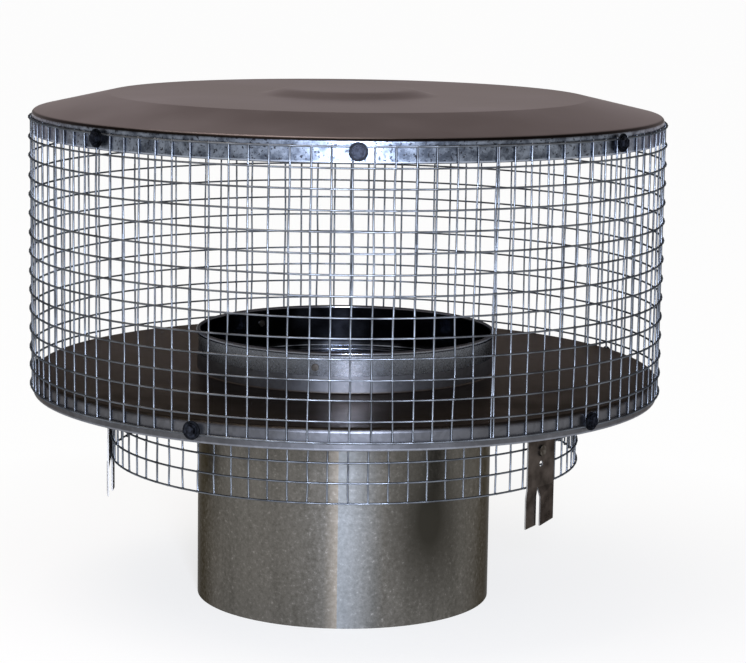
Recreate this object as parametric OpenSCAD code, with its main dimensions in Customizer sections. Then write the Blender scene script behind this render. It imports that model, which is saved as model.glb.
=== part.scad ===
// Round chimney cap for a factory-built flue.
// A stepped lid and a flat base pan are held apart by a cylinder of welded wire mesh that is
// screwed to both rims. A slip-in flue pipe with a bright inner sleeve passes up through the
// pan, and a smaller mesh skirt and three slit hanger straps go round it underneath.
// The foot of the pipe is at z = 0 and its axis is the Z axis. Azimuths are degrees from the
// front, which is -Y, towards +X.

/* [Rims and sheet] */
// Outside radius of the lid's and the pan's turned-down rims
rim_r = 210; // [205:0.5:216]
// Thickness of the galvanised sheet
sheet_t = 0.7; // [0.5:0.1:0.8]
// Height of the hem that is folded up inside each rim
hem_h = 5; // [4:0.5:5]
// Outside radius of the hem's fold
hem_fold_r = 0.95; // [0.9:0.05:1.1]

/* [Flue pipe] */
// Outside radius of the flue pipe
pipe_r = 99.5; // [96:0.5:100]
// Height of the rolled rim above the foot of the pipe
rim_top = 182.6; // [180:0.2:190]
// Height of the bright inner sleeve
sleeve_h = 50; // [44:1:70]
// Thickness of the sleeve's sheet
sleeve_t = 0.5; // [0.4:0.1:0.6]
// How far the locking bead stands out from the pipe
bead_out = 2.6; // [1.5:0.1:3]
// Height of the locking bead
bead_h = 6.4; // [5:0.2:7]

/* [Base pan] */
// Height of the pan's flat top above the foot of the pipe
pan_top = 155.3; // [154:0.1:157]
// Depth of the pan's turned-down rim
pan_rim_h = 14.2; // [13.8:0.2:16]
// Height of the collar that turns up round the pipe
pan_collar_h = 11.6; // [8:0.2:12]

/* [Lid] */
// Height of the lid's shoulder above the foot of the pipe
lid_edge = 328.9; // [328:0.1:332]
// Depth of the lid's turned-down rim, shoulder to hem
lid_rim_h = 15.1; // [14.6:0.1:16]
// Radius of the lid's raised flat
plateau_r = 160; // [140:1:170]
// Rise of the sloping band from the shoulder to the raised flat
plateau_rise = 11.3; // [8:0.1:14]
// Radius of the button pressed up in the middle, at its foot
button_r = 57; // [50:1:70]
// Height of the button
button_h = 4; // [3:0.5:6]

/* [Wire mesh] */
// Diameter of the mesh wire
wire_d = 1.3; // [0.9:0.1:1.3]
// Spacing of the mesh wires
mesh_pitch = 12.7; // [12.7:0.1:12.8]
// Height of the lowest ring wire of the cage
cage_foot = 146.4; // [146:0.1:147]
// Number of ring wires on the cage
cage_rings = 15; // [15:1:15]
// Number of upright wires round the cage
cage_wires = 105; // [95:1:110]
// Radius of the skirt's upright wires
skirt_r = 157; // [150:0.5:162]
// Height of the lowest ring wire of the skirt
skirt_foot = 97; // [96:0.5:98]
// Number of ring wires on the skirt
skirt_rings = 5; // [4:1:5]
// Number of upright wires round the skirt
skirt_wires = 78; // [70:1:80]

/* [Screws and rivets] */
// Shank radius of the sheet-metal screws
screw_r = 2; // [1.6:0.1:2.1]
// Length of a screw under its head
screw_l = 12.7; // [10:0.1:16]
// Outside radius of the plain washers
washer_r = 5.8; // [5:0.1:6.4]
// Shank radius of the sleeve rivets
sleeve_rivet_r = 1.2; // [1:0.1:1.6]
// Height of the sleeve rivets
sleeve_rivet_z = 172.2; // [171:0.1:174]
// Shank radius of the strap rivets
strap_rivet_r = 2; // [1.6:0.1:2.1]

/* [Hanger straps] */
// Width of a strap
strap_w = 31; // [24:1:32]
// Thickness of a strap
strap_t = 1; // [0.8:0.1:1.2]
// Length of the foot that is spot-welded under the pan
strap_foot = 19; // [15:1:22]
// Height of the plain hole in each strap
strap_hole_z = 110.9; // [109:0.1:113]
// Radius of the plain hole in each strap
strap_hole_r = 2; // [1.5:0.1:2.4]
// Length of the slit that splits the foot of a strap into two legs
slit_l = 26; // [18:1:28]

/* [Hidden] */
$fn = 96;
bend_steps = 6;       // chords in each rounded bend
fit = 0.1;            // play between nested sheets
touch = 0.02;         // hairline between wires that lie on each other
bite = 0.2;           // space between a shank and the wires beside it

// Sheet metal sizes
pipe_in = pipe_r - sheet_t;
sleeve_r = pipe_in - fit;
sleeve_in = sleeve_r - sleeve_t;
pan_under = pan_top - sheet_t;
bead_top = pan_under - fit;
bead_mid = bead_top - bead_h / 2;
collar_r = pipe_r + fit + sheet_t;
pan_foot = pan_top - pan_rim_h;
lid_foot = lid_edge - lid_rim_h;
plateau_z = lid_edge + plateau_rise;
button_top_r = button_r - 14;
shoulder_r = 3;       // bend radius at the lid's and the pan's rims
press_r = 8;          // bend radius at the edge of the lid's raised flat
button_bend_r = 30;   // bend radius of the button, which is only a soft swelling
collar_bend_r = 1.2;  // bend radius at the foot of the pan's collar
hem_w = 2 * hem_fold_r + 0.2;
bead_flat = bead_h / 3;
bead_foot_r = 3;      // bend radius where the bead leaves the pipe
bead_side_r = 1.6;    // bend radius between the bead's lower slope and its flat
bead_top_r = 1;       // bend radius where the bead meets the pan
curl_w = 2.7;         // width of the sleeve's rolled rim
curl_h = 2.6;         // how far the roll comes down outside
curl_fold_r = 1.3;
through = 1;          // how far a drill runs past the sheet

// Wire mesh sizes
wire_r = wire_d / 2;
first_wire = 1.5;     // azimuth of wire 0 on both meshes
seam_wire = 7;        // the cage's two ends lie side by side at this wire
cage_wire_r = rim_r + touch + wire_r;
cage_ring_r = cage_wire_r + wire_d + touch;
cage_out = cage_ring_r + wire_r;
cage_top = cage_foot + mesh_pitch * (cage_rings - 1);
skirt_ring_r = skirt_r + wire_d + touch;
skirt_out = skirt_ring_r + wire_r;
wire_end = 0.7;       // length of wire left past the last crossing

// Screws sit beside a crossing, so the washer pins both wires down
screw_step = screw_r + wire_r + bite;
screw_turn = screw_step / cage_wire_r * 180 / PI;
lid_screw_z = cage_top - screw_step;
base_screw_z = cage_foot + screw_step;
lid_screw_wires = [0, 15, 30, 45, 60, 75, -14];
base_screw_wires = [-8, 13, 34, 55, 76];
pilot_r = screw_r + fit;
washer_t = 0.8;
washer_in = cage_out + touch;
head_in = washer_in + washer_t + touch;
head_flange_r = 4.2;
head_flange_t = 0.8;
head_hex_r = 3.4;
head_h = 2.6;
screw_tip = 3;
screw_point_r = 0.25;
pilot_from = rim_r - 2 * sheet_t;

// Rivets
sleeve_rivet_az = [-10.5, 104, -142];
sleeve_rivet_head_r = 2.4;
sleeve_rivet_head_h = 0.9;
strap_in = skirt_out + touch;
strap_rivet_step = strap_rivet_r + wire_r + bite;
strap_turn = strap_rivet_step / skirt_r * 180 / PI;
strap_wires = [11, -20, 35];
strap_rivet_z = skirt_foot + 2 * mesh_pitch - strap_rivet_step;
strap_rivet_head_r = 3.6;
strap_rivet_head_h = 1.3;
strap_rivet_tail_r = 3;
strap_rivet_tail_h = 2.4;

// Straps were cut by hand, so each has its own lower end
strap_foot_z = [69.8, 66, 69];
strap_bend_r = 2;
leg_twist_h = 6;      // height in which a leg leaves the plane of its strap
leg_out = 2.3;        // the right leg's slit edge is bent out by this much
leg_in = 0.8;         // the left leg is set in by this much
slit_side = -3.6;     // the slit's place across the strap
strap_cut = [4.6, 1, 3];  // slope of the cut across each strap's lower end, in degrees
slice_h = 0.2;        // thickness of the sections that a leg is stretched between

galvanised = "#a9b1ba";
dull_steel = "#6f6a66";
weathered_lid = "#6b6263";
bright_steel = "#55585c";
wire_grey = "#8a8f96";
screw_black = "#2a2a2d";
strap_grey = "#45403a";

// Direction of a vector
function unit(v) = v / norm(v);
// An angle brought between -180 and 180 degrees
function turn(a) = a > 180 ? a - 360 : a < -180 ? a + 360 : a;
// Points on an arc about o, from angle a0 through da
function arc(o, r, a0, da) =
  [for (i = [0 : bend_steps]) o + r * [cos(a0 + da * i / bend_steps), sin(a0 + da * i / bend_steps)]];
// The bend of radius r that rounds corner b between a and c
function bend(a, b, c, r) =
  let (u = unit(a - b), v = unit(c - b), half = acos(u * v) / 2,
       o = b + unit(u + v) * r / sin(half),
       p = b + u * r / tan(half) - o, q = b + v * r / tan(half) - o,
       a0 = atan2(p[1], p[0]))
  arc(o, r, a0, turn(atan2(q[1], q[0]) - a0));
function flat(p) = [p[0], p[1]];
// A path of [x, y, bend radius] corners as plain points
function rounded(path) =
  [for (i = [0 : len(path) - 1])
    each path[i][2] == 0
      ? [flat(path[i])]
      : bend(flat(path[i - 1]), flat(path[i]), flat(path[i + 1]), path[i][2])];
// Normal on the right-hand side of the way from a to b
function right_of(a, b) = let (d = unit(b - a)) [d[1], -d[0]];
// The points of p moved t to the right, mitred at the corners
function beside(p, t) =
  [for (i = [0 : len(p) - 1])
    let (n0 = right_of(p[max(i - 1, 0)], p[max(i, 1)]),
         n1 = right_of(p[min(i, len(p) - 2)], p[min(i + 1, len(p) - 1)]),
         m = unit(n0 + n1))
    p[i] + m * t / (m * n0)];
function reversed(p) = [for (i = [len(p) - 1 : -1 : 0]) p[i]];
function but_first(p) = [for (i = [1 : len(p) - 1]) p[i]];
function but_last(p) = [for (i = [0 : len(p) - 2]) p[i]];
// Azimuth of a wire of the cage or the skirt
function cage_az(wire) = first_wire + wire * 360 / cage_wires;
function skirt_az(wire) = first_wire + wire * 360 / skirt_wires;

// Section of a sheet whose face follows the path and whose thickness is on its right
module sheet_section(path, t) {
  points = rounded(path);
  polygon(concat(points, reversed(beside(points, t))));
}

// Puts +X of the children along an azimuth, at height z
module at(az, z = 0) {
  rotate([0, 0, az - 90]) translate([0, 0, z]) children();
}

// A round bar along +X from x0 to x1
module bar(x0, x1, r) {
  translate([x0, 0, 0]) rotate([0, 90, 0]) cylinder(h = x1 - x0, r = r, $fn = 48);
}

// Inner face of the pipe from height z0 up to z1, past the bead, as plain points
function pipe_face(z0, z1) = rounded([
  [pipe_in, z0, 0],
  [pipe_in, bead_top - bead_h, bead_foot_r],
  [pipe_in + bead_out, bead_top - (bead_h + bead_flat) / 2, bead_side_r],
  [pipe_in + bead_out, bead_top - (bead_h - bead_flat) / 2, bead_top_r],
  [pipe_in, bead_top, bead_top_r],
  [pipe_in, z1, 0]]);

// Galvanised slip-in pipe with the bead that the pan rests on
module flue_pipe() {
  face = pipe_face(0, rim_top - curl_fold_r);
  color(dull_steel)
    difference() {
      rotate_extrude() polygon(concat(face, reversed(beside(face, sheet_t))));
      for (az = sleeve_rivet_az)
        at(az, sleeve_rivet_z) bar(pipe_in - through, pipe_r + through, sleeve_rivet_r + fit);
    }
}

// Bright inner sleeve: it follows the pipe's face and is rolled over the pipe's top
module flue_sleeve() {
  face = pipe_face(rim_top - sleeve_h, rim_top - curl_fold_r);
  roll = rounded([
    [sleeve_in, rim_top - sleeve_h, 0],
    [sleeve_in, rim_top, curl_fold_r],
    [sleeve_in + curl_w, rim_top, curl_fold_r],
    [sleeve_in + curl_w, rim_top - curl_h, 0]]);
  inner = concat(but_last(beside(face, -fit - sleeve_t)), but_first(roll));
  outer = concat(but_last(beside(face, -fit)), but_first(beside(roll, sleeve_t)));
  color(bright_steel)
    difference() {
      rotate_extrude() polygon(concat(inner, reversed(outer)));
      for (az = sleeve_rivet_az)
        at(az, sleeve_rivet_z) bar(sleeve_in - through, sleeve_r + sleeve_t, sleeve_rivet_r + fit);
    }
}

// Rivet through the sleeve and the pipe, headed on both sides
module sleeve_rivet(i) {
  color(dull_steel)
    at(sleeve_rivet_az[i], sleeve_rivet_z) {
      bar(sleeve_in - sleeve_rivet_head_h, pipe_r + sleeve_rivet_head_h, sleeve_rivet_r);
      bar(sleeve_in - sleeve_rivet_head_h, sleeve_in - touch, sleeve_rivet_head_r);
      bar(pipe_r + touch, pipe_r + sleeve_rivet_head_h, sleeve_rivet_head_r);
    }
}

// Flat pan with a collar turned up round the pipe and a hemmed rim
module base_pan() {
  color(galvanised)
    difference() {
      rotate_extrude()
        sheet_section([
          [collar_r, pan_top + pan_collar_h, 0],
          [collar_r, pan_top, collar_bend_r],
          [rim_r, pan_top, shoulder_r],
          [rim_r, pan_foot, hem_fold_r],
          [rim_r - hem_w, pan_foot, hem_fold_r],
          [rim_r - hem_w, pan_foot + hem_h, 0]], sheet_t);
      for (wire = base_screw_wires)
        at(cage_az(wire) + screw_turn, base_screw_z) bar(pilot_from, rim_r + through, pilot_r);
    }
}

// Stepped lid: raised button, flat, sloping band, shoulder and hemmed rim
module lid() {
  color(weathered_lid)
    difference() {
      rotate_extrude()
        sheet_section([
          [0, plateau_z + button_h, 0],
          [button_top_r, plateau_z + button_h, button_bend_r],
          [button_r, plateau_z, button_bend_r],
          [plateau_r, plateau_z, press_r],
          [rim_r, lid_edge, shoulder_r],
          [rim_r, lid_foot, hem_fold_r],
          [rim_r - hem_w, lid_foot, hem_fold_r],
          [rim_r - hem_w, lid_foot + hem_h, 0]], sheet_t);
      for (wire = lid_screw_wires)
        at(cage_az(wire) + screw_turn, lid_screw_z) bar(pilot_from, rim_r + through, pilot_r);
    }
}

// Sections of upright wires standing on a circle
module upright_sections(r, azimuths) {
  for (az = azimuths) rotate(az - 90) translate([r, 0]) circle(r = wire_r, $fn = 16);
}

// Sections of ring wires above each other
module ring_sections(r, z0, rings) {
  for (i = [0 : rings - 1]) translate([r, z0 + mesh_pitch * i]) circle(r = wire_r, $fn = 16);
}

// Welded mesh round both rims, its two ends side by side at the seam
module cage_mesh() {
  seam = cage_az(seam_wire) + (wire_d + touch) / cage_wire_r * 180 / PI;
  color(wire_grey) {
    translate([0, 0, cage_foot - wire_end])
      linear_extrude(height = cage_top - cage_foot + 2 * wire_end)
        upright_sections(cage_wire_r, concat([for (k = [0 : cage_wires - 1]) cage_az(k)], [seam]));
    rotate_extrude() ring_sections(cage_ring_r, cage_foot, cage_rings);
  }
}

// Smaller mesh that closes the air gap under the pan
module skirt_mesh() {
  color(wire_grey) {
    translate([0, 0, skirt_foot - wire_end])
      linear_extrude(height = pan_under - bite - skirt_foot + wire_end)
        upright_sections(skirt_r, [for (k = [0 : skirt_wires - 1]) skirt_az(k)]);
    rotate_extrude() ring_sections(skirt_ring_r, skirt_foot, skirt_rings);
  }
}

// Hex washer-head sheet-metal screw
module screw(az, z) {
  color(screw_black)
    at(az, z) {
      bar(head_in - screw_l + screw_tip, head_in + head_flange_t / 2, screw_r);
      translate([head_in - screw_l, 0, 0]) rotate([0, 90, 0])
        cylinder(h = screw_tip, r1 = screw_point_r, r2 = screw_r, $fn = 48);
      bar(head_in, head_in + head_flange_t, head_flange_r);
      translate([head_in + head_flange_t / 2, 0, 0]) rotate([0, 90, 0])
        cylinder(h = head_h - head_flange_t / 2, r = head_hex_r, $fn = 6);
    }
}

// Plain washer that holds the mesh down
module washer(az, z) {
  color(screw_black)
    at(az, z)
      difference() {
        bar(washer_in, washer_in + washer_t, washer_r);
        bar(washer_in - through, washer_in + washer_t + through, pilot_r);
      }
}

// Cross-section of a leg at height z, from y0 to y1, its inner face at x0 and x1
module leg_slice(y0, y1, x0, x1, z) {
  translate([strap_in, 0, z]) linear_extrude(height = slice_h)
    polygon([[x0, y0], [x1, y1], [x1 + strap_t, y1], [x0 + strap_t, y0]]);
}

// A leg that leaves the strap's plane by x0 and x1 and then runs straight down
module leg(y0, y1, x0, x1, z_top, z_end) {
  hull() {
    leg_slice(y0, y1, 0, 0, z_top);
    leg_slice(y0, y1, x0, x1, z_top - leg_twist_h);
  }
  hull() {
    leg_slice(y0, y1, x0, x1, z_top - leg_twist_h);
    leg_slice(y0, y1, x0, x1, z_end);
  }
}

// Hanger strap: foot under the pan, rivet hole, plain hole and two slit legs
module hanger_strap(i) {
  slit_z = strap_foot_z[i] + slit_l;
  color(strap_grey)
    at(skirt_az(strap_wires[i]) + strap_turn)
      difference() {
        union() {
          rotate([90, 0, 0])
            linear_extrude(height = strap_w, center = true)
              sheet_section([
                [strap_in, slit_z, 0],
                [strap_in, pan_under - touch, strap_bend_r],
                [strap_in + strap_foot, pan_under - touch, 0]], strap_t);
          leg(-strap_w / 2, slit_side - bite / 2, -leg_in, -leg_in, slit_z, strap_foot_z[i]);
          leg(slit_side + bite / 2, strap_w / 2, leg_out, 0, slit_z, strap_foot_z[i]);
        }
        translate([0, 0, strap_hole_z]) bar(strap_in - through, strap_in + strap_t + through, strap_hole_r);
        translate([0, 0, strap_rivet_z])
          bar(strap_in - through, strap_in + strap_t + through, strap_rivet_r + fit);
        translate([strap_in - leg_in - through, -strap_w / 2, strap_foot_z[i]]) rotate([strap_cut[i], 0, 0])
          translate([0, -through, -slit_l])
            cube([leg_in + strap_t + leg_out + 2 * through, strap_w + 3 * through, slit_l]);
      }
}

// Blind rivet that holds a strap and the skirt's wires together
module strap_rivet(i) {
  tail_in = skirt_r - wire_r - fit - strap_rivet_tail_h;
  color(dull_steel)
    at(skirt_az(strap_wires[i]) + strap_turn, strap_rivet_z) {
      bar(tail_in, strap_in + strap_t + strap_rivet_head_h / 2, strap_rivet_r);
      bar(tail_in, tail_in + strap_rivet_tail_h, strap_rivet_tail_r);
      bar(strap_in + strap_t + touch, strap_in + strap_t + strap_rivet_head_h, strap_rivet_head_r);
    }
}

flue_pipe();
flue_sleeve();
base_pan();
lid();
cage_mesh();
skirt_mesh();
for (i = [0 : 2]) sleeve_rivet(i);
for (i = [0 : 6]) screw(cage_az(lid_screw_wires[i]) + screw_turn, lid_screw_z);
for (i = [0 : 6]) washer(cage_az(lid_screw_wires[i]) + screw_turn, lid_screw_z);
for (i = [0 : 4]) screw(cage_az(base_screw_wires[i]) + screw_turn, base_screw_z);
for (i = [0 : 4]) washer(cage_az(base_screw_wires[i]) + screw_turn, base_screw_z);
for (i = [0 : 2]) hanger_strap(i);
for (i = [0 : 2]) strap_rivet(i);
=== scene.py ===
# %% [markdown]
# A round chimney cap in galvanised sheet and welded wire. The solids of the lid, pan, pipe,
# straps and screws come from the imported model and keep their shapes; this script gives them
# their finishes and builds what solid modelling leaves stiff: wire mesh with its welds and its
# small hand-made errors, the pipe's seam and the marks of use. Some finishes also hold painted
# light: painted shade, painted highlights and a painted dark reflection.

# %% Load the frame
import math
import bpy
import numpy as np
from mathutils import Matrix, Vector


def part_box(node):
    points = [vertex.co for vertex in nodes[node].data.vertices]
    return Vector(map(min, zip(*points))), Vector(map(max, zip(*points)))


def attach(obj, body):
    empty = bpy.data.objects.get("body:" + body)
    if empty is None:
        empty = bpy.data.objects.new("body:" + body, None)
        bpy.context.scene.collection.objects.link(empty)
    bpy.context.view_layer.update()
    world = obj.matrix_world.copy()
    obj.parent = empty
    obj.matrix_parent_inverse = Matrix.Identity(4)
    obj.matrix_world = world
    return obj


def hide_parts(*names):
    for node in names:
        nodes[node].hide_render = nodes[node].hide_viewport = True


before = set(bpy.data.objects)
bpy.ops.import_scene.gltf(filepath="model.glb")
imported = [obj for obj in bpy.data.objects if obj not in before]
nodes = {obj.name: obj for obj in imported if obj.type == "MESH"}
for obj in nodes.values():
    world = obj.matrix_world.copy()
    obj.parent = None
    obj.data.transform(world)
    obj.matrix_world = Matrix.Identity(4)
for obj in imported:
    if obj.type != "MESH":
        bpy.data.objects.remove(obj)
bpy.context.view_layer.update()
MM = 0.001
print("pieces from the model:", len(nodes))

# %% [markdown]
# Every colour below is written as the hex value that a colour picker shows, and one function
# turns it to the linear numbers that the shaders work in. One more function adds a shader node:
# it sets the node's options and fills its sockets with numbers or with other nodes' outputs.

# %% Colour and node helpers


def colour(code):
    """Linear RGBA of an sRGB hex code: c / 12.92 near black, else ((c + 0.055) / 1.055) ^ 2.4."""
    c = np.array([int(code[i:i + 2], 16) for i in (1, 3, 5)]) / 255
    linear = np.where(c <= 0.04045, c / 12.92, ((c + 0.055) / 1.055) ** 2.4)
    return (*linear.tolist(), 1.0)


def fill(tree, node, sockets):
    """Fills a shader node's sockets with values or with other nodes' outputs."""
    for name, value in sockets.items():
        if isinstance(value, bpy.types.NodeSocket):
            tree.links.new(value, node.inputs[name])
        else:
            node.inputs[name].default_value = value


def add(tree, kind, sockets, **options):
    """Adds a shader node, sets its options and fills its sockets."""
    new = tree.nodes.new("ShaderNode" + kind)
    for name, value in options.items():
        setattr(new, name, value)
    fill(tree, new, sockets)
    return new


def metal(name, edge="#ffffff"):
    """A new metal: returns it, its node tree, its main shader and its Object coordinates. The
    edge colour tints what it mirrors at a glancing angle: dark where dirt or oxide covers it."""
    made = bpy.data.materials.new(name)
    made.use_nodes = True
    tree = made.node_tree
    shader = tree.nodes["Principled BSDF"]
    fill(tree, shader, {"Metallic": 1.0, "Specular Tint": colour(edge)})
    return made, tree, shader, add(tree, "TexCoord", {}).outputs["Object"]


def blend(tree, pattern, low, high, first, second):
    """A colour that goes from first to second as the pattern's value goes from low to high."""
    share = add(tree, "MapRange", {"Value": pattern, "From Min": low, "From Max": high})
    return add(tree, "Mix", {0: share.outputs[0], 6: first, 7: second},
               data_type="RGBA").outputs[2]


def dress(piece, finish):
    """Gives a piece one finish in place of what it had."""
    piece.data.materials.clear()
    piece.data.materials.append(finish)


def per_mm(size):
    """Noise scale that gives features of about size millimetres."""
    return 1 / (size * MM)


# %% [markdown]
# The camera stands where the photograph was taken from: a little above the lid, 1.7 m away,
# with a long lens. Its place was worked out from the ellipses of the two rims, whose flatness
# gives the height above each of them, and from the pixels between the mesh wires.

# %% Camera
IMAGE_WIDTH = 746
FOCAL_PX = 2553
camera_place = Vector((0.0185, -1.707, 0.4586))
PITCH_DOWN = 9.27
ROLL_CLOCKWISE = 0.85

camera_data = bpy.data.cameras.new("camera")
camera_data.sensor_width = 36
camera_data.lens = FOCAL_PX * camera_data.sensor_width / IMAGE_WIDTH
camera = bpy.data.objects.new("camera", camera_data)
bpy.context.scene.collection.objects.link(camera)
camera.location = camera_place
level = Matrix.Rotation(math.radians(90 - PITCH_DOWN), 3, "X")
roll = Matrix.Rotation(math.radians(-ROLL_CLOCKWISE), 3, level @ Vector((0, 0, -1)))
camera.rotation_mode = "QUATERNION"
camera.rotation_quaternion = (roll @ level).to_quaternion()
bpy.context.scene.camera = camera
print("lens", round(camera_data.lens, 1), "mm")

# %% [markdown]
# The studio: the photograph was taken in a dim brown room with a flash just beside the lens, so
# what faces the camera is blue-white and the rest is warm and dark. A soft lamp stands where
# the flash was, a wide dim one hangs overhead, and the room is a gradient, pale at the horizon
# and darker above. The floor is lifted towards white for the eye and for reflections, and less
# so close to the foot, where it takes the soft shadow of the cap.

# %% Studio
FLOOR_SIZE = 30.0
LIFT_NEAR = 0.72
LIFT_FAR = 0.97
LIFT_REACH = 0.5


def area_lamp(name, place, target, size, power, tint):
    """A square lamp at place, facing target."""
    data = bpy.data.lights.new(name, "AREA")
    data.shape = "SQUARE"
    data.size = size
    data.energy = power
    data.color = colour(tint)[:3]
    lamp = bpy.data.objects.new(name, data)
    bpy.context.scene.collection.objects.link(lamp)
    lamp.location = place
    lamp.rotation_mode = "QUATERNION"
    lamp.rotation_quaternion = (Vector(target) - Vector(place)).to_track_quat("-Z", "Y")
    return lamp


area_lamp("flash", (0.11, -1.76, 0.53), (0, 0, 0.2), 0.3, 62, "#dfe9ff")
area_lamp("overhead", (-0.6, -0.3, 2.4), (0, 0, 0.2), 1.6, 30, "#fff2e4")

half = FLOOR_SIZE / 2
floor_mesh = bpy.data.meshes.new("floor")
floor_mesh.from_pydata([(-half, -half, 0), (half, -half, 0), (half, half, 0), (-half, half, 0)],
                       [], [(0, 1, 2, 3)])
floor = bpy.data.objects.new("floor", floor_mesh)
bpy.context.scene.collection.objects.link(floor)

paper = bpy.data.materials.new("pale_floor")
paper.use_nodes = True
tree = paper.node_tree
shader = tree.nodes["Principled BSDF"]
fill(tree, shader, {"Base Color": colour("#f4f3f1"), "Roughness": 0.9})
rays = add(tree, "LightPath", {}).outputs
seen = add(tree, "Math", {0: rays["Is Camera Ray"], 1: rays["Is Glossy Ray"]}, operation="MAXIMUM")
seen = add(tree, "Math", {0: seen.outputs[0], 1: rays["Is Transmission Ray"]}, operation="MAXIMUM")
place = add(tree, "TexCoord", {}).outputs["Object"]
away = add(tree, "VectorMath", {0: place}, operation="LENGTH").outputs["Value"]
lift = add(tree, "MapRange", {"Value": away, "From Min": 0.1, "From Max": LIFT_REACH,
                              "To Min": LIFT_NEAR, "To Max": LIFT_FAR})
lift = add(tree, "Math", {0: seen.outputs[0], 1: lift.outputs[0]}, operation="MULTIPLY")
glow = add(tree, "Emission", {"Color": colour("#ffffff"), "Strength": 1.0})
lifted = add(tree, "MixShader", {0: lift.outputs[0], 1: shader.outputs[0], 2: glow.outputs[0]})
fill(tree, tree.nodes["Material Output"], {"Surface": lifted.outputs[0]})
floor_mesh.materials.append(paper)

world = bpy.data.worlds.new("room")
bpy.context.scene.world = world
world.use_nodes = True
tree = world.node_tree
height = add(tree, "SeparateXYZ", {0: add(tree, "TexCoord", {}).outputs["Generated"]}).outputs["Z"]
room = blend(tree, height, 0.0, 0.6, colour("#b3aca6"), colour("#7d766f"))
fill(tree, tree.nodes["Background"], {"Color": room})
bpy.context.scene.view_settings.view_transform = "Standard"

# %% [markdown]
# Hot-dip galvanised sheet: zinc freezes on the steel in pale grey crystals, the spangle, and
# then dulls. The pan's rim is still the even blue-grey of new zinc, with a painted highlight
# along its foot. Its flat has a brown stain, with painted shade that darkens it towards the
# front of the collar. A soft blur, clouds of a few centimetres and the fine crystals
# give the eye zinc instead of bare steel.

# %% Galvanised sheet of the base pan
SPANGLE = 3.0
CLOUD = 38.0
# Height of the painted highlight along the foot of the pan's rim and of the lid's rim.
HEM_HIGHLIGHT_BAND = 1.6 * MM


def galvanised_sheet():
    """Zinc sheet: brown stain on the flat with painted shade darkest in front, and an even
    blue-grey rim with a painted highlight at its foot.
    """
    made, tree, shader, place = metal("galvanised_sheet", "#b9b4b1")
    clouds = add(tree, "TexNoise", {"Vector": place, "Scale": per_mm(CLOUD), "Detail": 4.0})
    cloud = clouds.outputs["Fac"]
    spangle = add(tree, "TexVoronoi", {"Vector": place, "Scale": per_mm(SPANGLE)})
    split = add(tree, "SeparateXYZ", {0: place}).outputs
    flat_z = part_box("base_pan")[0].z + 13.4 * MM
    # Painted shade: the flat goes darker towards the front (-Y); the brown and its clouds are the
    # stain.
    stain_and_front_shade = blend(tree, split["Y"], 0.02, -0.13, colour("#8a827f"), colour("#4e473f"))
    stain_and_front_shade = blend(tree, cloud, 0.62, 0.20, stain_and_front_shade, colour("#68605a"))
    zinc = blend(tree, cloud, 0.35, 0.68, colour("#646569"), colour("#7a7b80"))
    pan_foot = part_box("base_pan")[0].z
    # Painted highlight: a bright line along the foot of the rim.
    zinc = blend(tree, split["Z"], pan_foot + HEM_HIGHLIGHT_BAND, pan_foot + HEM_HIGHLIGHT_BAND / 2, zinc, colour("#a2a6b0"))
    collar = blend(tree, split["Z"], flat_z + 1.6 * MM, flat_z + 2.6 * MM, stain_and_front_shade,
                   colour("#7b7c80"))
    both = blend(tree, split["Z"], flat_z, flat_z - 1.0 * MM, collar, zinc)
    crystal = blend(tree, spangle.outputs["Color"], 0.2, 0.9, colour("#707070"), colour("#8f8f8f"))
    sheet = add(tree, "Mix", {0: 0.6, 6: both, 7: crystal}, data_type="RGBA", blend_type="OVERLAY")
    blur = add(tree, "MapRange", {"Value": cloud, "From Min": 0.3, "From Max": 0.7,
                                  "To Min": 0.34, "To Max": 0.46})
    dents = add(tree, "Bump", {"Height": cloud, "Strength": 0.25, "Distance": 1.2 * MM})
    fill(tree, shader, {"Base Color": sheet.outputs[2], "Roughness": blur.outputs[0],
                        "Normal": dents.outputs[0]})
    return made


dress(nodes["base_pan"], galvanised_sheet())

# %% [markdown]
# The lid is the same sheet after a longer life: its top has gone a smooth brown-mauve, a dark
# line runs along the shoulder, and the turned-down rim keeps its bright, specked zinc, with a
# painted highlight along its foot.
# One material holds all three, and the height of a point says which it is.

# %% Weathered lid


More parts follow.
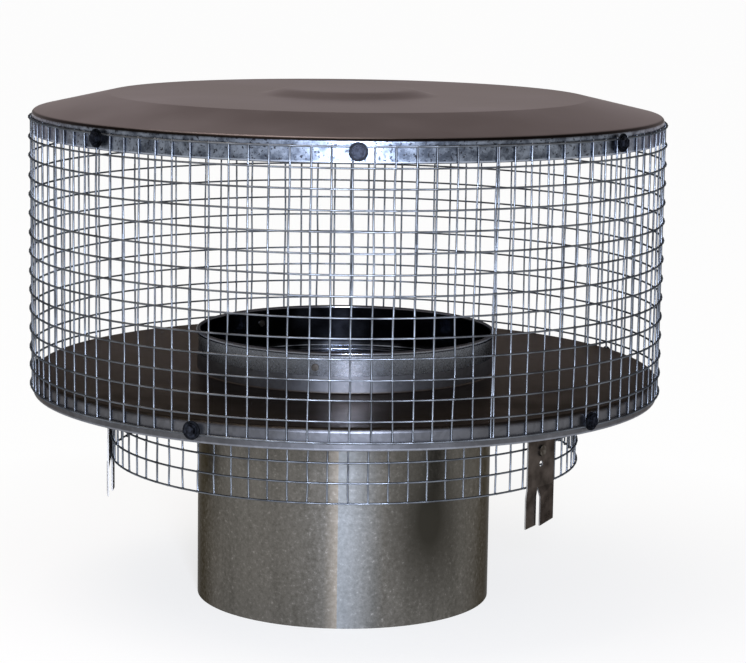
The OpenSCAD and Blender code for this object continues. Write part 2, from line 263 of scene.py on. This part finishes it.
def weathered_lid():
    """Brown-mauve oxide on top, a dark line at the shoulder, bright specked zinc on the rim with a
    painted highlight along its foot.
    """
    made, tree, shader, place = metal("weathered_galvanised", "#f2ecf1")
    rim_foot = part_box("lid")[0].z
    shoulder = rim_foot + 13.6 * MM
    height = add(tree, "SeparateXYZ", {0: place}).outputs["Z"]
    clouds = add(tree, "TexNoise", {"Vector": place, "Scale": per_mm(90), "Detail": 3.0})
    cloud = clouds.outputs["Fac"]
    oxide = blend(tree, cloud, 0.35, 0.70, colour("#8f8689"), colour("#a39b9f"))
    blotches = add(tree, "TexNoise", {"Vector": place, "Scale": per_mm(9), "Detail": 6.0,
                                      "Roughness": 0.7}).outputs["Fac"]
    specks = add(tree, "TexNoise", {"Vector": place, "Scale": per_mm(1.8), "Detail": 2.0})
    zinc = blend(tree, blotches, 0.40, 0.60, colour("#474d57"), colour("#7f8793"))
    zinc = blend(tree, specks.outputs["Fac"], 0.42, 0.34, zinc, colour("#2f3137"))
    # Painted highlight: a bright line along the foot of the rim.
    zinc = blend(tree, height, rim_foot + HEM_HIGHLIGHT_BAND, rim_foot + HEM_HIGHLIGHT_BAND / 2, zinc, colour("#a9b0bc"))
    # A dark line along the shoulder.
    dark_shoulder_line = blend(tree, height, shoulder - 0.5 * MM, shoulder + 0.1 * MM, zinc, colour("#1f1b1a"))
    both = blend(tree, height, shoulder + 1.2 * MM, shoulder + 1.8 * MM, dark_shoulder_line, oxide)
    blur = add(tree, "MapRange", {"Value": cloud, "From Min": 0.3, "From Max": 0.7,
                                  "To Min": 0.30, "To Max": 0.38})
    dents = add(tree, "Bump", {"Height": cloud, "Strength": 0.3, "Distance": 2 * MM})
    fill(tree, shader, {"Base Color": both, "Roughness": blur.outputs[0],
                        "Normal": dents.outputs[0]})
    return made


dress(nodes["lid"], weathered_lid())

# %% [markdown]
# The flue pipe is aluminised steel: sheet dipped in molten aluminium, which leaves it matt and
# finely mottled, like frosted pewter. It catches a broad upright highlight, which a painted
# highlight in its colour strengthens beside the seam, a hairline a little left of the middle:
# bluish-white on the right of it, and on the left a narrow strip of warmer metal that the same
# painted highlight lightens. A painted dark reflection lies on the right.

# %% Matt pipe
SEAM_X = -2.4 * MM
WARM_REACH = 9.0 * MM
COOL_HIGHLIGHT_REACH = 30.0 * MM
DARK_REFLECTION_AT = (57 * MM, -81 * MM, 38 * MM)


def flue_steel():
    """Matt grey metal with a fine mottle, faint upright streaks, a seam with a painted highlight
    beside it and a painted dark reflection.
    """
    made, tree, shader, place = metal("flue_steel", "#918e89")
    mottle = add(tree, "TexNoise", {"Vector": place, "Scale": per_mm(2.6), "Detail": 5.0,
                                    "Roughness": 0.75}).outputs["Fac"]
    stretch = add(tree, "Mapping", {"Vector": place, "Scale": (1.0, 1.0, 0.12)})
    streaks = add(tree, "TexNoise", {"Vector": stretch.outputs[0], "Scale": per_mm(16),
                                     "Detail": 3.0})
    both = add(tree, "Mix", {0: 0.35, 2: mottle, 3: streaks.outputs["Fac"]}).outputs[0]
    grey = blend(tree, both, 0.36, 0.64, colour("#55534e"), colour("#74716c"))
    grey = blend(tree, mottle, 0.60, 0.70, grey, colour("#8f8c87"))
    split = add(tree, "SeparateXYZ", {0: place}).outputs
    # Painted highlight beside the seam, on the front only: bluish-white on the right, warm on the
    # narrow strip of warmer metal on the left.
    from_seam = add(tree, "Math", {0: split["X"], 1: SEAM_X}, operation="SUBTRACT").outputs[0]
    gap = add(tree, "Math", {0: from_seam}, operation="ABSOLUTE").outputs[0]
    warm_side = add(tree, "Math", {0: from_seam, 1: 0.0}, operation="LESS_THAN").outputs[0]
    reach = add(tree, "Mix", {0: warm_side, 2: COOL_HIGHLIGHT_REACH, 3: WARM_REACH}).outputs[0]
    near = add(tree, "MapRange", {"Value": gap, "From Min": reach, "From Max": 0.0}).outputs[0]
    front = add(tree, "Math", {0: split["Y"], 1: 0.0}, operation="LESS_THAN").outputs[0]
    near = add(tree, "Math", {0: near, 1: front}, operation="MULTIPLY").outputs[0]
    seam_tint_and_highlight = blend(tree, warm_side, 0.0, 1.0, colour("#a9b1b8"), colour("#b5aa9b"))
    grey = blend(tree, near, 0.0, 2.4, grey, seam_tint_and_highlight)
    # Painted dark reflection: a soft dark patch on the right of the front.
    squat = add(tree, "VectorMath", {0: place, 1: (1.0, 1.0, 0.55)}, operation="MULTIPLY")
    away = add(tree, "VectorMath", {0: squat.outputs[0], 1: DARK_REFLECTION_AT}, operation="DISTANCE")
    grey = blend(tree, away.outputs["Value"], 38 * MM, 8 * MM, grey, colour("#36342f"))
    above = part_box("base_pan")[1].z - 4 * MM
    grey = blend(tree, split["Z"], above - 1 * MM, above, grey, colour("#80848b"))
    blur = add(tree, "MapRange", {"Value": mottle, "From Min": 0.3, "From Max": 0.7,
                                  "To Min": 0.30, "To Max": 0.38})
    polished = add(tree, "MapRange", {"Value": split["Z"], "From Min": above - 1 * MM,
                                      "From Max": above, "To Min": 1.0, "To Max": 0.8})
    blur = add(tree, "Math", {0: blur.outputs[0], 1: polished.outputs[0]}, operation="MULTIPLY")
    grain = add(tree, "Bump", {"Height": mottle, "Strength": 0.15, "Distance": 0.2 * MM})
    fill(tree, shader, {"Base Color": grey, "Roughness": blur.outputs[0],
                        "Normal": grain.outputs[0]})
    return made


dress(nodes["flue_pipe"], flue_steel())

# %% [markdown]
# The inner sleeve is bright-rolled stainless steel, close to a mirror, under a film of soot. Its
# wall above the bead is painted near black, a painted dark reflection of the inside of the pipe
# and the underside of the lid. The bead keeps light steel and the top of the rolled lip a mid
# grey, and both flash blue-white where they catch the lamp.

# %% Bright sleeve


def bright_stainless():
    """Mirror-like stainless steel under thin soot clouds, painted near black above the bead as a
    painted dark reflection.
    """
    made, tree, shader, place = metal("bright_stainless", "#8a8b8f")
    soot = add(tree, "TexNoise", {"Vector": place, "Scale": per_mm(25), "Detail": 4.0})
    soot = soot.outputs["Fac"]
    blur = add(tree, "MapRange", {"Value": soot, "From Min": 0.3, "From Max": 0.7,
                                  "To Min": 0.12, "To Max": 0.24})
    height = add(tree, "SeparateXYZ", {0: place}).outputs["Z"]
    # Painted dark reflection: near black above the bead, light steel below it.
    steel = blend(tree, height, 0.1555, 0.1575, colour("#b4bac6"), colour("#35373d"))
    soot_and_painted_dark = blend(tree, soot, 0.30, 0.60, colour("#202126"), steel)
    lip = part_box("flue_sleeve")[1].z - 1.5 * MM
    soot_and_painted_dark = blend(tree, height, lip - 0.5 * MM, lip, soot_and_painted_dark, colour("#8a8d95"))
    fill(tree, shader, {"Base Color": soot_and_painted_dark,
                        "Roughness": blur.outputs[0]})
    return made


dress(nodes["flue_sleeve"], bright_stainless())

# %% [markdown]
# The screws are zinc-plated and gone blue-grey, the washers under them are nearly black, and
# the rivets are as dull as the straps. Each is small, so a fine noise in colour and blur is all
# the eye needs.

# %% Screws, washers and rivets


def small_steel(name, dark, light, blur_from, blur_to):
    """Small steel parts: two tones mixed by a fine noise, with a matching blur."""
    made, tree, shader, place = metal(name, light)
    specks = add(tree, "TexNoise", {"Vector": place, "Scale": per_mm(2.5), "Detail": 3.0})
    specks = specks.outputs["Fac"]
    blur = add(tree, "MapRange", {"Value": specks, "From Min": 0.3, "From Max": 0.7,
                                  "To Min": blur_from, "To Max": blur_to})
    grain = add(tree, "Bump", {"Height": specks, "Strength": 0.3, "Distance": 0.2 * MM})
    fill(tree, shader, {"Base Color": blend(tree, specks, 0.38, 0.65, colour(dark), colour(light)),
                        "Roughness": blur.outputs[0], "Normal": grain.outputs[0]})
    return made


finishes = {
    "_screw_": small_steel("screw_steel", "#191a1f", "#33363e", 0.45, 0.6),
    "_washer_": small_steel("washer_steel", "#141518", "#25272c", 0.5, 0.65),
    "_rivet_": small_steel("rivet_steel", "#4a4642", "#6a6661", 0.3, 0.42),
}
for name, piece in nodes.items():
    for part, finish in finishes.items():
        if part in name:
            dress(piece, finish)

# %% [markdown]
# The hanger straps are cut by hand from dull dark strip. Where the shears went through, the
# steel is bare and bright. On the real strap those are the narrow faces that look along the
# rim or straight down, so the shader finds them by the direction that a face looks in.

# %% Straps


def strap_steel():
    """Dull strip whose narrow sheared faces are bright: those facing round the axis or down."""
    made, tree, shader, place = metal("strap_steel", "#4d4843")
    smudges = add(tree, "TexNoise", {"Vector": place, "Scale": per_mm(9), "Detail": 5.0})
    smudges = smudges.outputs["Fac"]
    dull = blend(tree, smudges, 0.35, 0.7, colour("#433e3a"), colour("#635c57"))
    facing = add(tree, "TexCoord", {}).outputs["Normal"]
    level = add(tree, "VectorMath", {0: place, 1: (1, 1, 0)}, operation="MULTIPLY")
    outwards = add(tree, "VectorMath", {0: level.outputs[0]}, operation="NORMALIZE")
    radial = add(tree, "VectorMath", {0: facing, 1: outwards.outputs[0]}, operation="DOT_PRODUCT")
    across = add(tree, "Math", {0: radial.outputs["Value"]}, operation="ABSOLUTE").outputs[0]
    grain = add(tree, "Bump", {"Height": smudges, "Strength": 0.2, "Distance": 0.4 * MM})
    fill(tree, shader, {"Base Color": blend(tree, across, 0.55, 0.35, dull, colour("#a9a7a4")),
                        "Roughness": 0.5, "Normal": grain.outputs[0]})
    return made


strap_finish = strap_steel()
for name, piece in nodes.items():
    if name.startswith("hanger_strap"):
        dress(piece, strap_finish)

# %% [markdown]
# The mesh is half-inch hardware cloth: two layers of wire laid on each other, welded at each
# crossing and then galvanised. The weld sinks one wire into the other, and zinc fills the
# corner, so each crossing is a small knot. Rolled and trimmed by hand, the wires lean and wave
# by a few tenths of a millimetre. Each wire here is a tube carried along its own wavy path,
# and swells near each crossing.

# %% Wire tubes


def tubes(points, side, up, radius, sides, closed):
    """Meshes for many wires at once. points, side and up have the shape (wires, steps, 3), and
    radius (wires, steps). A section is point + radius * (cos(a) * side + sin(a) * up)."""
    wires, steps = points.shape[:2]
    a = np.arange(sides) * 2 * np.pi / sides
    ring = (np.cos(a)[:, None] * side[:, :, None] + np.sin(a)[:, None] * up[:, :, None])
    verts = (points[:, :, None] + radius[:, :, None, None] * ring).reshape(-1, 3)
    w, s, k = np.meshgrid(np.arange(wires), np.arange(steps if closed else steps - 1),
                          np.arange(sides), indexing="ij")
    here = (w * steps + s) * sides
    there = (w * steps + (s + 1) % steps) * sides
    nxt = (k + 1) % sides
    quads = np.stack([here + k, here + nxt, there + nxt, there + k], -1).reshape(-1, 4)
    faces = quads.tolist()
    if not closed:
        first = (np.arange(wires)[:, None] * steps * sides + np.arange(sides)[::-1]).tolist()
        last = (np.arange(wires)[:, None] * steps * sides + (steps - 1) * sides
                + np.arange(sides)).tolist()
        faces += first + last
    return verts, faces


def join(parts):
    """One list of vertices and one of faces from several."""
    verts, faces, offset = [], [], 0
    for v, f in parts:
        verts.append(v)
        faces += [[i + offset for i in face] for face in f]
        offset += len(v)
    return np.concatenate(verts), faces


def piece_from(name, verts, faces, finish, smooth=True):
    """A new piece of the cap, at the origin, with its place in its mesh."""
    mesh = bpy.data.meshes.new(name)
    mesh.from_pydata(verts.tolist(), [], faces)
    mesh.validate()
    mesh.polygons.foreach_set("use_smooth", np.full(len(mesh.polygons), smooth))
    mesh.materials.append(finish)
    made = bpy.data.objects.new(name, mesh)
    bpy.context.scene.collection.objects.link(made)
    triangles = sum(len(p.vertices) - 2 for p in mesh.polygons)
    print(name, triangles, "triangles")
    return made


# %% [markdown]
# Polar helpers. An azimuth of 0 is the front, and it grows towards +X.

# %% Mesh cylinder
WIRE_D = 1.3 * MM
FIRST_WIRE = 1.5
PITCH = 12.7 * MM
SINK = 0.25 * MM
SWELL = 1.22
KNOT = 0.85 * MM


def outward(azimuth):
    """Unit vector pointing away from the axis at each azimuth, in radians."""
    return np.stack([np.sin(azimuth), -np.cos(azimuth), np.zeros_like(azimuth)], -1)


def along(azimuth):
    """Unit vector pointing round the axis at each azimuth."""
    return np.stack([np.cos(azimuth), np.sin(azimuth), np.zeros_like(azimuth)], -1)


def smooth_noise(rng, wires, steps, waves, size):
    """A few sine waves with random phases for each wire: a slow wander of about size."""
    t = np.linspace(0, 2 * np.pi, steps)[None, :, None]
    k = np.arange(1, waves + 1)[None, None, :]
    phase = rng.uniform(0, 2 * np.pi, (wires, 1, waves))
    height = rng.normal(0, size / waves ** 0.5, (wires, 1, waves))
    return (height * np.sin(k * t + phase)).sum(-1)


def knots(count, pitch, reach):
    """Places along a wire, as fractions of a pitch: two beside each crossing, one on it and one
    half way to the next."""
    offsets = np.array([-reach / pitch, 0.0, reach / pitch, 0.5])
    places = (np.arange(count)[:, None] + offsets).reshape(-1)
    swell = np.tile([0.0, 1.0, 0.0, 0.0], count)
    return places, swell


def mesh_cylinder(node, wires, rings, seam, seed):
    """Uprights inside, rings outside, knotted at each crossing. Returns vertices and faces."""
    rng = np.random.default_rng(seed)
    low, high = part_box(node)
    wire_r = WIRE_D / 2
    ring_r = high.x - wire_r - SINK
    upright_r = ring_r - WIRE_D + SINK
    foot = low.z + 0.7 * MM
    step = 2 * np.pi / wires
    azimuth = math.radians(FIRST_WIRE) + step * np.arange(wires)
    if seam is not None:
        azimuth = np.append(azimuth, azimuth[seam] + 1.35 * WIRE_D / upright_r)
    count = len(azimuth)

    places, swell = knots(rings, PITCH, KNOT)
    places = np.concatenate([[-0.055], places[:-1], [rings - 1 + 0.055]])
    swell = np.concatenate([[0], swell[:-1], [0]])
    order = np.argsort(places)
    places, swell = places[order], swell[order]
    steps = len(places)
    top = min(foot + PITCH * (rings - 1) + 0.7 * MM, high.z)
    z = np.clip(foot + PITCH * places, low.z, top)
    lean = smooth_noise(rng, count, steps, 3, 0.3 * MM)
    lean += rng.normal(0, 0.15 * MM, (count, 1))
    az = azimuth[:, None] + lean / upright_r
    points = outward(az) * upright_r
    points[:, :, 2] = z
    radius = wire_r * (1 + (SWELL - 1) * swell)[None, :] * np.ones((count, 1))
    up_part = tubes(points, along(az), -outward(az), radius, 6, closed=False)

    places, swell = knots(wires, step * ring_r, KNOT)
    az = math.radians(FIRST_WIRE) + step * places[None, :] * np.ones((rings, 1))
    sag = smooth_noise(rng, rings, len(places) + 1, 4, 0.28 * MM)[:, :-1]
    points = outward(az) * ring_r
    points[:, :, 2] = foot + PITCH * np.arange(rings)[:, None] + sag
    vertical = np.zeros_like(points)
    vertical[:, :, 2] = 1
    radius = wire_r * (1 + (SWELL - 1) * swell)[None, :] * np.ones((rings, 1))
    ring_part = tubes(points, outward(az), vertical, radius, 6, closed=True)
    return join([up_part, ring_part])


def mesh_wire():
    """Galvanised wire: blue-grey zinc with brown-grey stretches where it has dulled."""
    made, tree, shader, place = metal("mesh_wire", "#9aa0a8")
    grime = add(tree, "TexNoise", {"Vector": place, "Scale": per_mm(22), "Detail": 5.0})
    grime = grime.outputs["Fac"]
    blur = add(tree, "MapRange", {"Value": grime, "From Min": 0.3, "From Max": 0.7,
                                  "To Min": 0.5, "To Max": 0.36})
    fill(tree, shader, {"Base Color": blend(tree, grime, 0.32, 0.62, colour("#4c4e51"),
                                            colour("#7a7f86")),
                        "Roughness": blur.outputs[0]})
    return made


wire_finish = mesh_wire()
cage = piece_from("cage_wires", *mesh_cylinder("cage_mesh", 105, 15, 7, 11), wire_finish)
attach(cage, "root")
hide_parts("cage_mesh")
skirt = piece_from("skirt_wires", *mesh_cylinder("skirt_mesh", 78, 5, None, 5), wire_finish)
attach(skirt, "root")
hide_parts("skirt_mesh")
